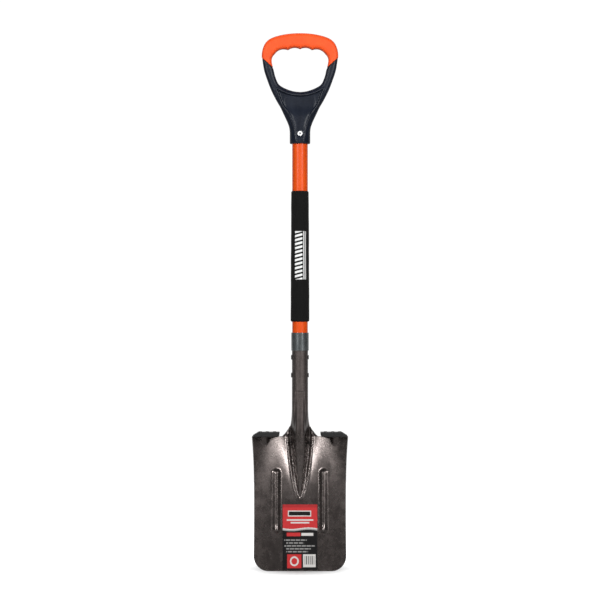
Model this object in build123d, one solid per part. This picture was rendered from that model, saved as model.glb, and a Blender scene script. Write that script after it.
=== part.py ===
"""Garden spade: pressed steel blade, fibreglass shaft, foam sleeve and moulded D-grip.

Frame: millimetres, +Z up along the shaft, origin at the middle of the cutting edge.
The shapes are drawn round the shaft axis, which stands AXIS_Y behind the cutting edge.
The concave digging face looks toward -Y, and +X is to the right of someone facing it.
"""
from build123d import *
import os
from math import cos, exp, hypot, pi, radians, sin, sqrt, tan

os.makedirs("parts", exist_ok=True)

# ---- driving dimensions (mm) ----
GAP = 0.05                 # clearance between parts that slide together
AXIS_Y = 33.4              # the shaft axis stands this far behind the cutting edge
THROUGH = 30.0             # half-length of a cutter that goes right through

SHEET = 1.9                # blade sheet, also the socket wall
BLADE_TOP = 273.0          # shoulder height
BLADE_HALF = 94.3          # half-width near the cutting edge
WAIST_HALF = 93.6
WAIST_Z = 144.69           # height where the blade is narrowest
SHOULDER_HALF = 97.6
BOTTOM_CORNER = 30.0
LIFT = radians(8.0)        # forward slope of the blade against the shaft
BACK_TOP_Y = 5.9           # back of the panel at the shoulder, on the centre line
DISH_TOP = 24.0            # how far the sides stand forward at the shoulder
DISH_EDGE = 3.0            # and at the cutting edge
DISH_HALF = 95.0

FROG_TIP = 147.0           # lower tip of the V
FROG_TOP_HALF = 27.0       # half-width of the V at the shoulder
RIDGE_HALF = 9.7           # half-width of the central ridge
RIDGE_FULL = 250.0         # height where the ridge reaches its full width
VALLEY_DEPTH = 13.0
V_FLARE = 3.0              # how far the panel falls back along the V
V_FLARE_REACH = 10.0

RIB_X = 47.0
RIB_HALF = 11.0
RIB_LOW = 76.0
RIB_HIGH = 208.0
RIB_HEIGHT = 4.0

SOCKET_R = 16.6
SOCKET_TOP = 468.0
CREASE_TOP = 366.8         # below this the socket is pressed into the neck
CREASE_X = 10.4
CREASE_CUT = 1.4
SEAM_HALF = 0.7
WING_HALF = 36.0
WING_TOP = 302.0
WING_CURVE = (26.5, 286.2) # point on the wing's curved edge
WING_ROOT = 12.0           # the wings start inside the socket's wall
WING_Y = 4.1               # front of the wings, in line with the panel below them
UNCURL_TOP = 330.0         # the seam opens out below this

GUSSET_X = 72.0            # dart pressed into the bend under each step
GUSSET_R = 7.5
GUSSET_LOW = 256.0
GUSSET_TILT = 25.0

STEP_TOP = 276.3
STEP_INNER = 46.5
STEP_OUTER = 92.5
STEP_FRONT = -32.0
TREAD_LOW = 273.0
TREAD_TOP = 282.7
TREAD_FRONT = -36.0
TREAD_UNDER_X = (46.2, 97.2)
TREAD_TOP_X = (41.6, 85.0)
TREAD_RIVET_R = 2.1
TREAD_HEAD_R = 4.2
TREAD_TAIL_R = 3.6
TREAD_TAIL_RISE = 1.2
HEAD_RISE = 1.8            # domed rivet heads
HEAD_CHAMFER = 1.2
TREAD_RIVETS_X = (52.0, 67.0, 81.0)
TREAD_RIVET_Y = -22.5

LABEL_HALF = 35.5
LABEL_LOW = 2.7
LABEL_HIGH = 134.3
LABEL_THICK = 0.25
LABEL_CORNER = 2.0

SHAFT_R = 16.0
SHAFT_BORE_R = 11.5
SHAFT_BOTTOM = 372.0
SHAFT_SHOULDER = 476.0     # below this the shaft is turned down to fit the socket
SHAFT_TOP = 925.0
LOWER_PLUG = (375.0, 459.0)
UPPER_PLUG = (866.0, 922.0)
SOCKET_RIVETS_Z = (398.7, 435.5)
RIVET_R = 3.0
SOCKET_HEAD_R = 5.2
SOCKET_TAIL_R = 4.4        # rolled end
SOCKET_TAIL_RISE = 1.5
SOCKET_TAIL_BORE = 1.9
SOCKET_TAIL_DEPTH = 4.0

COLLAR_R = 18.05
COLLAR_LOW = 449.2
COLLAR_HIGH = 486.0
COLLAR_EDGE = 0.6

FOAM_LOW = 508.5
FOAM_HIGH = 776.9
FOAM_LOW_R = 19.25
FOAM_HIGH_R = 18.0
FOAM_LOW_CHAMFER = (1.5, 3.0)
FOAM_HIGH_CHAMFER = 0.8

GRIP_BOTTOM = 873.7
GRIP_TOP = 1100.4
GRIP_COLLAR_R = 21.1
GRIP_DEPTH_HALF = 14.0
GRIP_ROUND = 8.5
CONE_LOW = 915.0           # the round collar tapers above this
CONE_TOP = (13.5, 972.0)   # its radius and height at the top
COVER_INNER = (55.0, 1029.0)  # where the soft cover starts on the opening's rim
COVER_OUTER = (77.5, 1049.0)  # and on the outside
CORE_DEPTH_HALF = 7.5      # stiff core of the bar
GRIP_RIVET_Z = 893.9
GRIP_RIVET_BORE = 1.75
MANDREL_R = 1.7
GRIP_HEAD_R = 5.0
GRIP_HEAD_RISE = 1.4
GRIP_TAIL_R = 4.6
GRIP_TAIL_RISE = 1.2
SPOT_FACE_Y = 20.5
SPOT_FACE_R = 5.1
OPENING_GIRTH = 400.0      # the hand opening's rim is shorter than this, the outer rim is not
FINGER_R = 27.0
FINGERS = ((10.5, 1071.2), (33.5, 1068.4))


# ---- back of the blade sheet: one height formula, y as a function of x and z ----
def smooth(t):
    t = min(1.0, max(0.0, t))
    return t * t * (3 - 2 * t)


def dished_back(x, z):
    """Lifted and dished panel, before the frog and the ribs are pressed in."""
    dish = DISH_EDGE + (DISH_TOP - DISH_EDGE) * (max(z, 0) / BLADE_TOP) ** 1.2
    return BACK_TOP_Y - (BLADE_TOP - z) * tan(LIFT) - dish * (abs(x) / DISH_HALF) ** 2.1


def rib_height(x, z):
    """One stamped rib: a round-ended bead."""
    low = RIB_LOW + RIB_HALF
    high = RIB_HIGH - RIB_HALF
    away = hypot(abs(x) - RIB_X, z - min(high, max(low, z)))
    return RIB_HEIGHT * smooth((RIB_HALF - away) / (0.75 * RIB_HALF))


def sheet_y(x, z):
    """Back of the sheet: dished panel with its ribs, and the W-section frog above FROG_TIP."""
    base = dished_back(x, z) - rib_height(x, z)
    if z <= FROG_TIP + 0.5:
        return base
    rise = min(1.0, (z - FROG_TIP) / (BLADE_TOP - FROG_TIP))
    v_half = FROG_TOP_HALF * rise ** 0.45
    ridge_half = RIDGE_HALF * min(1.0, (z - FROG_TIP) / (RIDGE_FULL - FROG_TIP)) ** 0.75
    if abs(x) >= v_half:
        return base + V_FLARE * rise * exp((v_half - abs(x)) / V_FLARE_REACH)
    tip_y = dished_back(0, FROG_TIP)
    crest = tip_y - (SOCKET_R - SHEET + tip_y) * rise
    crown = (SOCKET_R - sqrt(SOCKET_R ** 2 - RIDGE_HALF ** 2)) * ridge_half / RIDGE_HALF
    if abs(x) <= ridge_half:
        return crest + crown * (x / ridge_half) ** 2
    across = (abs(x) - ridge_half) / (v_half - ridge_half)
    edge = dished_back(v_half, z) + V_FLARE * rise
    level = crest + crown + (edge - crest - crown) * across
    return level + VALLEY_DEPTH * rise ** 0.8 * sin(pi * across) ** 1.2


# ---- construction helpers ----
def surface(point, u_range, z_range, columns, rows):
    """Smooth face through point(u, z) over a grid."""
    grid = []
    for j in range(rows + 1):
        z = z_range[0] + (z_range[1] - z_range[0]) * j / rows
        line = []
        for i in range(columns + 1):
            u = u_range[0] + (u_range[1] - u_range[0]) * i / columns
            line.append(point(u, z))
        grid.append(line)
    return Face.make_surface_from_array_of_points(grid, tol=0.1)


def face_point(x, z):
    return Vector(x, sheet_y(x, z), z)


def front_prism(sketch, y_low=-90.0, y_high=90.0):
    """A shape drawn on the front view (x, z), run from y_low to y_high."""
    return extrude(Plane.XZ.offset(-y_high) * sketch, y_high - y_low)


def cylinder_x(radius, x_low, x_high, z):
    place = Pos((x_low + x_high) / 2, 0, z) * Rot(0, 90, 0)
    return place * Cylinder(radius, x_high - x_low)


def cylinder_y(radius, y_low, y_high, z, x=0.0):
    place = Pos(x, (y_low + y_high) / 2, z) * Rot(90, 0, 0)
    return place * Cylinder(radius, y_high - y_low)


def tube_z(outer, inner, z_low, z_high):
    height = z_high - z_low
    place = Pos(0, 0, (z_low + z_high) / 2)
    return place * (Cylinder(outer, height) - Cylinder(inner, height + 1))


# ---- blade ----
def blade_outline():
    """Front view of the digging panel, up to the shoulder."""
    top_x = SHOULDER_HALF
    corner = BOTTOM_CORNER
    right = [
        Line((0, 0), (BLADE_HALF - corner, 0)),
        RadiusArc((BLADE_HALF - corner, 0), (BLADE_HALF, corner), -corner),
        Spline((BLADE_HALF, corner), (WAIST_HALF, WAIST_Z), (top_x, BLADE_TOP)),
        Polyline((top_x, BLADE_TOP), (STEP_OUTER, STEP_TOP), (STEP_INNER, STEP_TOP),
                 (STEP_INNER - 1, BLADE_TOP), (0, BLADE_TOP)),
        Line((0, BLADE_TOP), (0, 0)),
    ]
    half = make_face(Wire(Curve() + right))
    return half + mirror(half, Plane.YZ)


def blade_panel(face):
    return Solid.thicken(face, -SHEET) & front_prism(blade_outline())


def wing():
    """Right wing: the sheet's edge, which curves from the shoulder up to the socket's side."""
    outline = make_face(Wire(Curve() + [
        Polyline((SOCKET_R, WING_TOP), (WING_ROOT, WING_TOP), (WING_ROOT, BLADE_TOP),
                 (WING_HALF, BLADE_TOP)),
        ThreePointArc((WING_HALF, BLADE_TOP), WING_CURVE, (SOCKET_R, WING_TOP)),
    ]))
    plate = front_prism(outline, WING_Y, WING_Y + SHEET)
    return plate - Pos(0, 0, WING_TOP) * Cylinder(SOCKET_R - SHEET, 120)


def neck_and_socket():
    """Rolled socket with its seam at the back, open below and flanked by the wings."""
    tube = tube_z(SOCKET_R, SOCKET_R - SHEET, BLADE_TOP, SOCKET_TOP)
    tube -= Pos(0, SOCKET_R, (BLADE_TOP + SOCKET_TOP) / 2) * Box(2 * SEAM_HALF, 10, 400)
    mouth = Plane.YZ * make_face(Polyline(
        (WING_Y, BLADE_TOP - 1), (40, BLADE_TOP - 1), (40, UNCURL_TOP + 20), (SOCKET_R, UNCURL_TOP),
        (WING_Y, BLADE_TOP - 1)))
    tube -= extrude(mouth, 60, both=True)
    for side in (-1, 1):
        at = Pos(side * CREASE_X, -sqrt(SOCKET_R ** 2 - CREASE_X ** 2), (BLADE_TOP + CREASE_TOP) / 2)
        tube -= at * Rot(0, 0, 45) * Box(CREASE_CUT, CREASE_CUT, CREASE_TOP - BLADE_TOP + 0.01)
    return tube + both_sides(wing())


def step_plan(inner, outer, front, behind):
    """Plan of a step on the right: straight front, back edge along the dished panel."""
    xs = [inner + (outer - inner) * i / 3 for i in range(4)]
    rear = [(x, dished_back(x, BLADE_TOP) + behind) for x in xs]
    edges = [
        Spline(*rear),
        Polyline(rear[-1], (outer, front), (inner, front), rear[0]),
    ]
    return make_face(Wire(Curve() + edges))


def step():
    plan = step_plan(STEP_INNER, STEP_OUTER, STEP_FRONT, -SHEET / 2)
    return Pos(0, 0, STEP_TOP - SHEET) * extrude(plan, SHEET)


def both_sides(shape):
    return shape + mirror(shape, Plane.YZ)


def gusset(radius):
    """Round dart pressed into the bend: it leans forward out of the panel to the right step."""
    low_y = dished_back(GUSSET_X, GUSSET_LOW) - SHEET
    lean = Rot(GUSSET_TILT, 0, 0) * Pos(0, GUSSET_R, 0) * Cylinder(radius, 120)
    dart = Pos(GUSSET_X, low_y, GUSSET_LOW) * lean
    room = front_prism(Pos(GUSSET_X, GUSSET_LOW) * Rectangle(40, 2 * (STEP_TOP - GUSSET_LOW) - 1),
                       STEP_FRONT + 1, low_y + 4)
    return dart & room


def rivet_hole(x):
    return Pos(x, TREAD_RIVET_Y, STEP_TOP) * Cylinder(TREAD_RIVET_R + GAP, THROUGH)


def blade(face):
    """One piece: panel, steps with their darts, neck and socket."""
    body = blade_panel(face) + neck_and_socket()
    body += both_sides(step() + gusset(GUSSET_R))
    body -= both_sides(gusset(GUSSET_R - SHEET))
    for z in SOCKET_RIVETS_Z:
        body -= cylinder_x(RIVET_R + GAP, -THROUGH, THROUGH, z)
    for x in TREAD_RIVETS_X:
        body -= both_sides(rivet_hole(x))
    return body


def blade_label(face):
    place = Pos(0, (LABEL_LOW + LABEL_HIGH) / 2)
    outline = place * RectangleRounded(2 * LABEL_HALF, LABEL_HIGH - LABEL_LOW, LABEL_CORNER)
    window = front_prism(outline)
    under = Solid.thicken(face, -SHEET) & window
    return (Solid.thicken(face, -SHEET - LABEL_THICK) & window) - under


# ---- treads ----
def tread():
    """Right rubber tread: slab over the step and a lip in front of it."""
    profile = make_face(Wire(Polyline(
        (TREAD_UNDER_X[0], TREAD_LOW), (TREAD_UNDER_X[1], TREAD_LOW),
        (TREAD_TOP_X[1], TREAD_TOP), (TREAD_TOP_X[0], TREAD_TOP),
        (TREAD_UNDER_X[0], TREAD_LOW))))
    plan = step_plan(TREAD_TOP_X[0] - 1, TREAD_UNDER_X[1] + 1, TREAD_FRONT, 0.0)
    block = Pos(0, 0, TREAD_LOW) * extrude(plan, TREAD_TOP - TREAD_LOW)
    block = block & front_prism(profile)
    under = step_plan(TREAD_TOP_X[0] - 10, TREAD_UNDER_X[1] + 10, STEP_FRONT - GAP, 10.0)
    block -= Pos(0, 0, TREAD_LOW - 1) * extrude(under, STEP_TOP + GAP - TREAD_LOW + 1)
    for x in TREAD_RIVETS_X:
        block -= rivet_hole(x)
    return block


def tread_rivets():
    """Three solid rivets, domed on top of the tread and upset under the step."""
    low = STEP_TOP - SHEET
    group = Part()
    for x in TREAD_RIVETS_X:
        at = Pos(x, TREAD_RIVET_Y, 0)
        length = TREAD_TOP - low + 2 * GAP
        shank = Pos(0, 0, (low + TREAD_TOP) / 2) * Cylinder(TREAD_RIVET_R, length)
        head = Pos(0, 0, TREAD_TOP + HEAD_RISE / 2 + GAP) * Cylinder(TREAD_HEAD_R, HEAD_RISE)
        head = chamfer(head.edges().group_by(Axis.Z)[-1], HEAD_CHAMFER)
        tail = Pos(0, 0, low - TREAD_TAIL_RISE / 2 - GAP) * Cylinder(TREAD_TAIL_R, TREAD_TAIL_RISE)
        group += at * (shank + head + tail)
    return group


# ---- shaft, plugs, collar and socket rivets ----
def shaft():
    turned_r = SOCKET_R - SHEET - 4 * GAP
    low = Pos(0, 0, (SHAFT_BOTTOM + SHAFT_SHOULDER) / 2) * Cylinder(
        turned_r, SHAFT_SHOULDER - SHAFT_BOTTOM)
    high = Pos(0, 0, (SHAFT_SHOULDER + SHAFT_TOP) / 2) * Cylinder(
        SHAFT_R, SHAFT_TOP - SHAFT_SHOULDER)
    body = low + high - Pos(0, 0, SHAFT_SHOULDER) * Cylinder(SHAFT_BORE_R, 2 * SHAFT_TOP)
    for z in SOCKET_RIVETS_Z:
        body -= cylinder_x(RIVET_R + GAP, -THROUGH, THROUGH, z)
    return body - cylinder_y(RIVET_R + GAP, -THROUGH, THROUGH, GRIP_RIVET_Z)


def core_plug(low, high):
    """Rod that fills the shaft's bore where a rivet crosses it."""
    return Pos(0, 0, (low + high) / 2) * Cylinder(SHAFT_BORE_R - GAP, high - low)


def lower_core_plug():
    body = core_plug(*LOWER_PLUG)
    for z in SOCKET_RIVETS_Z:
        body -= cylinder_x(RIVET_R + GAP, -THROUGH, THROUGH, z)
    return body


def upper_core_plug():
    return core_plug(*UPPER_PLUG) - cylinder_y(RIVET_R + GAP, -THROUGH, THROUGH, GRIP_RIVET_Z)


def socket_rivets():
    """Domed on the left, rolled over on the right."""
    reach = SOCKET_R + GAP
    group = Part()
    for z in SOCKET_RIVETS_Z:
        shank = cylinder_x(RIVET_R, -reach, reach, z)
        dome = Pos(-reach - HEAD_RISE / 2, 0, z) * Rot(0, -90, 0) * Cylinder(SOCKET_HEAD_R, HEAD_RISE)
        dome = chamfer(dome.edges().group_by(Axis.X)[0], HEAD_CHAMFER)
        tail = cylinder_x(SOCKET_TAIL_R, reach, reach + SOCKET_TAIL_RISE, z)
        bore = cylinder_x(SOCKET_TAIL_BORE, reach - SOCKET_TAIL_DEPTH, reach + THROUGH, z)
        group += (shank - bore) + dome + (tail - bore)
    return group


def ferrule_collar():
    body = tube_z(COLLAR_R, SHAFT_R + GAP, COLLAR_LOW, COLLAR_HIGH)
    seat = Pos(0, 0, COLLAR_LOW) * Cylinder(SOCKET_R + GAP, 2 * (SOCKET_TOP + GAP - COLLAR_LOW))
    body -= seat
    rims = body.edges().filter_by(GeomType.CIRCLE).filter_by(lambda e: e.radius > COLLAR_R - 0.1)
    return fillet(rims, COLLAR_EDGE)


def foam_grip():
    profile = make_face(Wire(Polyline(
        (SHAFT_R + GAP, FOAM_LOW), (FOAM_LOW_R - FOAM_LOW_CHAMFER[0], FOAM_LOW),
        (FOAM_LOW_R, FOAM_LOW + FOAM_LOW_CHAMFER[1]), (FOAM_HIGH_R, FOAM_HIGH - FOAM_HIGH_CHAMFER),
        (FOAM_HIGH_R - FOAM_HIGH_CHAMFER, FOAM_HIGH),
        (SHAFT_R + GAP, FOAM_HIGH), (SHAFT_R + GAP, FOAM_LOW))))
    return revolve(Plane.XZ * profile, Axis.Z)


# ---- D-grip ----
def mirrored(right):
    """Points of the right half followed by their mirror images, in order round the shape."""
    return right + [(-x, z) for x, z in reversed(right) if x > 0]


def grip_outline():
    """Front view of the D; its lower end lies inside the round collar."""
    right = [(0, 880), (13, 886), (21.5, 908), (36.9, 942.6), (59, 983.5), (72, 1019),
             (78, 1050), (76.8, 1076), (67, 1088.5), (48, 1095), (24, 1099), (0, GRIP_TOP)]
    return make_face(Wire(Spline(*mirrored(right), periodic=True)))


def hand_opening():
    """Front view of the hand opening, before the finger arches."""
    right = [(0, 980.5), (21, 983.6), (37, 990.5), (46, 1001), (53.5, 1024), (58.1, 1047),
             (54.8, 1059.5), (43, 1065), (22, 1066.8), (0, 1067.4)]
    points = mirrored(right)
    return make_face(Wire(Spline(*points, periodic=True)))


def front_and_back_rims(body, near_origin):
    """Edges on the flat front and back of the D, inside or outside the hand opening."""
    rims = body.edges().filter_by(lambda e: abs(abs(e.center().Y) - GRIP_DEPTH_HALF) < 0.01)
    return rims.filter_by(lambda e: (e.length < OPENING_GIRTH) == near_origin)


def grip_body():
    """Whole moulding, frame and soft cover together."""
    body = front_prism(grip_outline(), -GRIP_DEPTH_HALF, GRIP_DEPTH_HALF)
    body = fillet(front_and_back_rims(body, False), GRIP_ROUND)
    body -= front_prism(hand_opening(), -GRIP_DEPTH_HALF - 5, GRIP_DEPTH_HALF + 5)
    body = fillet(front_and_back_rims(body, True), GRIP_ROUND)
    cone = make_face(Wire(Polyline(
        (0, GRIP_BOTTOM), (GRIP_COLLAR_R, GRIP_BOTTOM), (GRIP_COLLAR_R, CONE_LOW), CONE_TOP,
        (0, CONE_TOP[1]), (0, GRIP_BOTTOM))))
    body += revolve(Plane.XZ * cone, Axis.Z)
    for x, z in FINGERS:
        for side in (-1, 1):
            body -= cylinder_y(FINGER_R, -THROUGH, THROUGH, z - FINGER_R, side * x)
    body -= Pos(0, 0, (GRIP_BOTTOM + SHAFT_TOP) / 2) * Cylinder(
        SHAFT_R + GAP, SHAFT_TOP - GRIP_BOTTOM + 2 * GAP)
    for side in (-1, 1):
        y = side * SPOT_FACE_Y
        body -= cylinder_y(SPOT_FACE_R, min(y, 2 * y), max(y, 2 * y), GRIP_RIVET_Z)
    return body - cylinder_y(RIVET_R + GAP, -THROUGH, THROUGH, GRIP_RIVET_Z)


def cover_region():
    """Front view of the part of the grip that the soft cover wraps."""
    wide = COVER_OUTER[0] + THROUGH
    high = GRIP_TOP + THROUGH
    half = make_face(Wire(Polyline(
        (0, COVER_INNER[1]), COVER_INNER, COVER_OUTER, (wide, COVER_OUTER[1]), (wide, high),
        (0, high), (0, COVER_INNER[1]))))
    return front_prism(both_sides(half))


def bar_core():
    """Stiff core of the bar and of the upper legs, inside the soft cover."""
    outer = [
        ThreePointArc((0, 1093.5), (30, 1091.5), (58, 1085.5)),
        ThreePointArc((58, 1085.5), (67, 1080.5), (72, 1069)),
        Line((72, 1069), (67, 1020)),
        Line((67, 1020), (57, 1020)),
        Line((57, 1020), (64, 1048)),
        ThreePointArc((64, 1048), (59.5, 1064), (46, 1075)),
        Line((46, 1075), (0, 1077.5)),
        Line((0, 1077.5), (0, 1093.5)),
    ]
    return front_prism(both_sides(make_face(Wire(Curve() + outer))), -CORE_DEPTH_HALF, CORE_DEPTH_HALF)


def grip_rivet():
    """Tubular rivet, flat heads in the spot faces front and back."""
    seat = SPOT_FACE_Y
    body = cylinder_y(RIVET_R, -seat, seat, GRIP_RIVET_Z)
    body += cylinder_y(GRIP_HEAD_R, -seat - GRIP_HEAD_RISE, -seat, GRIP_RIVET_Z)
    body += cylinder_y(GRIP_TAIL_R, seat, seat + GRIP_TAIL_RISE, GRIP_RIVET_Z)
    return body - cylinder_y(GRIP_RIVET_BORE, -THROUGH, THROUGH, GRIP_RIVET_Z)


def grip_rivet_mandrel():
    return cylinder_y(MANDREL_R, -SPOT_FACE_Y + 0.5, SPOT_FACE_Y + 0.6, GRIP_RIVET_Z)


def save(name, shape):
    export_step(Pos(0, AXIS_Y, 0) * shape, f"parts/{name}.step")


def main():
    face = surface(face_point, (-102, 102), (-6, 282), 60, 36)
    save("blade", blade(face))
    save("blade_label", blade_label(face))
    right_tread = tread()
    right_rivets = tread_rivets()
    save("right_tread", right_tread)
    save("left_tread", mirror(right_tread, Plane.YZ))
    save("right_tread_rivets", right_rivets)
    save("left_tread_rivets", mirror(right_rivets, Plane.YZ))
    save("shaft", shaft())
    save("lower_core_plug", lower_core_plug())
    save("upper_core_plug", upper_core_plug())
    save("socket_rivets", socket_rivets())
    save("ferrule_collar", ferrule_collar())
    save("foam_grip", foam_grip())
    whole_grip = grip_body()
    core = bar_core()
    region = cover_region()
    save("grip_frame", (whole_grip - region) + (core & whole_grip))
    save("grip_overmould", (whole_grip & region) - core)
    save("grip_rivet", grip_rivet())
    save("grip_rivet_mandrel", grip_rivet_mandrel())


main()
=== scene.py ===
"""Looks of the garden spade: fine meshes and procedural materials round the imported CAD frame."""

from math import cos, pi, radians, sin, tan

import bpy
import numpy as np
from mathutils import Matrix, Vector


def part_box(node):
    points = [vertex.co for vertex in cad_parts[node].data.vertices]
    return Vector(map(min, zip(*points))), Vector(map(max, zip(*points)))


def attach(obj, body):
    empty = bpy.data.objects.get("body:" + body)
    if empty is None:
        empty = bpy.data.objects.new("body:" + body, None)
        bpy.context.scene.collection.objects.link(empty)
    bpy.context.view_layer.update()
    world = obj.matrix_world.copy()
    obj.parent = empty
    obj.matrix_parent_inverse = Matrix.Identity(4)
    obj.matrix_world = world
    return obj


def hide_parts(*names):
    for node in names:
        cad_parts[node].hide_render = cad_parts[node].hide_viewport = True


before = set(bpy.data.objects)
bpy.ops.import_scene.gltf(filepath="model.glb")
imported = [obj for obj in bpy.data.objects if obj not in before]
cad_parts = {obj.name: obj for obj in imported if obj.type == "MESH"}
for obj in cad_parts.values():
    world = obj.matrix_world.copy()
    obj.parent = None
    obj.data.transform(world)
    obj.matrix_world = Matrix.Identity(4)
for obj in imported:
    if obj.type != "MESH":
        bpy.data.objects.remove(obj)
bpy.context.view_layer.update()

MM = 0.001
BODY = "root"
AXIS = np.mean([corner[1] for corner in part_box("shaft")])      # y of the shaft's axis, metres


def node_box(node):
    """Lowest and highest corner of a CAD node, in millimetres from the shaft's axis."""
    low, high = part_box(node)
    axis = np.array([0, AXIS, 0])
    return (np.array(low) - axis) / MM, (np.array(high) - axis) / MM


BLADE_LOW, BLADE_HIGH = node_box("blade")
LABEL_LOW, LABEL_HIGH = node_box("blade_label")
TREAD_LOW, TREAD_HIGH = node_box("right_tread")
FOAM_LOW, FOAM_HIGH = node_box("foam_grip")
SHAFT_HIGH = node_box("shaft")[1]
FRAME_LOW = node_box("grip_frame")[0]
COVER_HIGH = node_box("grip_overmould")[1]
GRIP_RIVET_LOW, GRIP_RIVET_HIGH = node_box("grip_rivet")


# ---------------------------------------------------------------- mesh helpers
def make_object(name, points, faces, material, slot, *nodes):
    """Mesh piece from points in millimetres from the shaft's axis, standing for its CAD nodes."""
    mesh = bpy.data.meshes.new(name)
    in_frame = np.asarray(points, float) * MM + (0, AXIS, 0)
    mesh.from_pydata(in_frame.tolist(), [], np.asarray(faces).tolist())
    mesh.validate()
    mesh.update()
    mesh.polygons.foreach_set("use_smooth", np.ones(len(mesh.polygons), bool))
    mesh.materials.append(material)
    piece = bpy.data.objects.new(name, mesh)
    bpy.context.scene.collection.objects.link(piece)
    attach(piece, BODY)
    if nodes:
        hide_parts(*nodes)
    return piece


def grid_faces(rows, columns, start=0, closed=False):
    """Quads of a rows x columns sheet of points; closed joins the last column to the first."""
    row = np.arange(rows - 1)[:, None] * columns
    column = np.arange(columns if closed else columns - 1)[None, :]
    beside = (column + 1) % columns
    quads = np.stack([row + column, row + beside, row + columns + beside, row + columns + column], -1)
    return quads.reshape(-1, 4) + start


def quads_of(ids):
    """Quads between rows of point numbers."""
    return np.stack([ids[:-1, :-1], ids[:-1, 1:], ids[1:, 1:], ids[1:, :-1]], -1).reshape(-1, 4)


def revolve(profile, segments):
    """Closed ring of (radius, height) points turned about Z; returns points and quads."""
    angles = np.arange(segments) * 2 * pi / segments
    r = profile[:, 0][:, None]
    h = profile[:, 1][:, None] + 0 * angles
    points = np.stack([r * np.cos(angles), r * np.sin(angles), h], -1).reshape(-1, 3)
    faces = grid_faces(len(profile) + 1, segments, closed=True)
    return points, faces % len(points)


def relax(piece, rounds):
    """Evens out the mesh over a number of rounds."""
    modifier = piece.modifiers.new("relax", "SMOOTH")
    modifier.factor = 0.5
    modifier.iterations = rounds


def thicken(piece, thickness):
    """Turns a sheet into a solid that lies behind its front face."""
    modifier = piece.modifiers.new("sheet", "SOLIDIFY")
    modifier.thickness = thickness * MM
    modifier.offset = -1


def smooth(t):
    """Eases from 0 to 1 while t goes from 0 to 1."""
    t = np.clip(t, 0.0, 1.0)
    return t * t * (3 - 2 * t)


# ---------------------------------------------------------------- shapes from distance fields
def surface_nets(field, low, step):
    """Quad mesh of the zero surface of a sampled distance field (negative inside)."""
    inside = field < 0
    cells = tuple(n - 1 for n in field.shape)
    total = np.zeros(cells + (3,))
    count = np.zeros(cells)
    crossings = []
    for axis in range(3):
        here = [slice(None)] * 3
        there = [slice(None)] * 3
        here[axis] = slice(0, -1)
        there[axis] = slice(1, None)
        a, b = field[tuple(here)], field[tuple(there)]
        cross = inside[tuple(here)] != inside[tuple(there)]
        index = np.argwhere(cross)
        t = a[cross] / (a[cross] - b[cross])
        position = index.astype(float)
        position[:, axis] += t
        crossings.append((axis, index, inside[tuple(here)][cross]))
        others = [k for k in range(3) if k != axis]
        for da in (0, 1):
            for db in (0, 1):
                cell = index.copy()
                cell[:, others[0]] -= da
                cell[:, others[1]] -= db
                ok = np.all((cell >= 0) & (cell < np.array(cells)), axis=1)
                key = tuple(cell[ok].T)
                np.add.at(total, key, position[ok])
                np.add.at(count, key, 1)
    used = count > 0
    number = np.full(cells, -1)
    number[used] = np.arange(used.sum())
    points = total[used] / count[used][:, None] * step + np.array(low)
    quads = []
    for axis, index, start_inside in crossings:
        others = [k for k in range(3) if k != axis]
        ok = np.ones(len(index), bool)
        for k in others:
            ok &= (index[:, k] > 0) & (index[:, k] < cells[k])
        index, start_inside = index[ok], start_inside[ok]
        corners = []
        for da, db in ((0, 0), (1, 0), (1, 1), (0, 1)):
            cell = index.copy()
            cell[:, others[0]] -= da
            cell[:, others[1]] -= db
            corners.append(number[tuple(cell.T)])
        quad = np.stack(corners, -1)
        flip = start_inside == (axis == 1)
        quad[flip] = quad[flip][:, ::-1]
        quads.append(quad)
    return points, np.vstack(quads)


def outline_distance(points, x, z):
    """Signed distance in the front view to a closed outline, negative inside."""
    ax, az = points[:, 0], points[:, 1]
    bx, bz = np.roll(ax, -1), np.roll(az, -1)
    best = np.full(x.shape, 1e9)
    inside = np.zeros(x.shape, bool)
    for x0, z0, x1, z1 in zip(ax, az, bx, bz):
        ex, ez = x1 - x0, z1 - z0
        t = np.clip(((x - x0) * ex + (z - z0) * ez) / (ex * ex + ez * ez + 1e-12), 0, 1)
        best = np.minimum(best, (x - x0 - t * ex) ** 2 + (z - z0 - t * ez) ** 2)
        spans = (z0 > z) != (z1 > z)
        cut = x0 + (z - z0) * ex / (ez if abs(ez) > 1e-12 else 1e-12)
        inside ^= spans & (x < cut)
    return np.where(inside, -1, 1) * np.sqrt(best)


def smooth_outline(points, per_span=10):
    """Closed Catmull-Rom curve through points."""
    points = np.array(points, float)
    count = len(points)
    result = []
    for i in range(count):
        p = [points[(i + k) % count] for k in (-1, 0, 1, 2)]
        for t in np.arange(per_span) / per_span:
            result.append(0.5 * (2 * p[1] + (p[2] - p[0]) * t
                                 + (2 * p[0] - 5 * p[1] + 4 * p[2] - p[3]) * t ** 2
                                 + (3 * p[1] - p[0] - 3 * p[2] + p[3]) * t ** 3))
    return np.array(result)


def mirrored(right):
    """Right half of an outline, top to bottom, and its mirror image back up."""
    return list(right) + [(-x, z) for x, z in reversed(right) if x > 0]


def rounded_extrusion(flat, y, half_depth, radius):
    """Field of a front-view shape run back and forth along y, with its edges rounded."""
    a = flat + radius
    b = np.abs(y) - half_depth + radius
    return np.minimum(np.maximum(a, b), 0) + np.hypot(np.maximum(a, 0), np.maximum(b, 0)) - radius


def soft_min(a, b, k):
    """Union of two fields with a fillet of about k."""
    h = np.clip(0.5 + 0.5 * (b - a) / k, 0, 1)
    return b + (a - b) * h - k * h * (1 - h)


def soft_max(a, b, k):
    """Intersection of two fields with a rounding of about k."""
    return -soft_min(-a, -b, k)


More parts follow.
